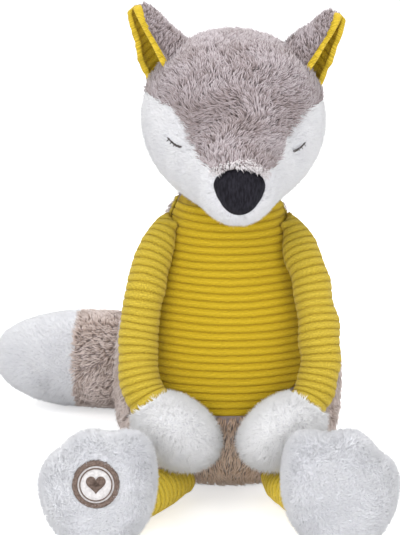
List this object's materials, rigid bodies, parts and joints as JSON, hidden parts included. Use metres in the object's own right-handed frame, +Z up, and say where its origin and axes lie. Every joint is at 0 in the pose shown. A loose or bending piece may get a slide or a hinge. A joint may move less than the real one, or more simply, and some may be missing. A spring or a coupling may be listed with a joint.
{
  "type": "plush fox",
  "caption": "Soft toy fox sitting with its legs forward, with a turning head, long lifting arms, swinging legs and a bushy swinging tail.",
  "frame": {"origin": "centre of the flat patch of the seat that the toy sits on", "axes": "+Z up, -Y is the way the toy faces, +X is the toy's left"},
  "size_m": [0.2442, 0.3009, 0.2845],
  "materials": {
    "corduroy_yellow": "ribbed corduroy",
    "plush_grey": "long pile plush",
    "plush_white": "short pile plush",
    "nose_cloth": "matte felted cloth",
    "thread_dark": "embroidery thread",
    "thread_brown": "embroidery thread",
    "fibre_fill": "loose polyester fibre",
    "bag_linen": "plain weave bag of pellets"
  },
  "bodies": {
    "torso": {"torso_back_cover": "plush_grey", "torso_front_panel": "corduroy_yellow", "torso_filling": "fibre_fill", "seat_pellet_bag": "bag_linen"},
    "head": {"head_crown": "plush_grey", "cheek_left": "plush_white", "cheek_right": "plush_white", "nose": "nose_cloth", "eye_left": "thread_dark", "eye_right": "thread_dark", "ear_left_outer": "plush_grey", "ear_left_lining": "corduroy_yellow", "ear_right_outer": "plush_grey", "ear_right_lining": "corduroy_yellow", "head_filling": "fibre_fill"},
    "arm_left": {"sleeve_left": "corduroy_yellow", "paw_left": "plush_white", "arm_left_filling": "fibre_fill"},
    "arm_right": {"sleeve_right": "corduroy_yellow", "paw_right": "plush_white", "arm_right_filling": "fibre_fill"},
    "leg_left": {"leg_sleeve_left": "corduroy_yellow", "foot_left": "plush_white", "leg_left_filling": "fibre_fill"},
    "leg_right": {"leg_sleeve_right": "corduroy_yellow", "foot_right": "plush_white", "leg_right_filling": "fibre_fill", "sole_badge": "thread_brown"},
    "tail": {"tail_base": "plush_grey", "tail_tip": "plush_white", "tail_filling": "fibre_fill"}
  },
  "joints": [
    {"name": "neck_turn", "type": "hinge", "parent": "torso", "child": "head", "pos_m": [0, 0, 0.166], "axis": [0, 0, 1], "range_deg": [-22, 22]},
    {"name": "arm_left_lift", "type": "hinge", "parent": "torso", "child": "arm_left", "pos_m": [0.0323, -0.00627, 0.16051], "axis": [-1, 0, 0], "range_deg": [0, 45]},
    {"name": "arm_right_lift", "type": "hinge", "parent": "torso", "child": "arm_right", "pos_m": [-0.0323, -0.00627, 0.16051], "axis": [-1, 0, 0], "range_deg": [0, 45]},
    {"name": "leg_left_drop", "type": "hinge", "parent": "torso", "child": "leg_left", "pos_m": [0.023, -0.04674, 0.0105], "axis": [1, 0, 0], "range_deg": [0, 80]},
    {"name": "leg_right_drop", "type": "hinge", "parent": "torso", "child": "leg_right", "pos_m": [-0.023, -0.04674, 0.0105], "axis": [1, 0, 0], "range_deg": [0, 80]},
    {"name": "tail_swing", "type": "hinge", "parent": "torso", "child": "tail", "pos_m": [-0.01088, 0.0513, 0.0252], "axis": [0, 0, -1], "range_deg": [0, 45]}
  ]
}
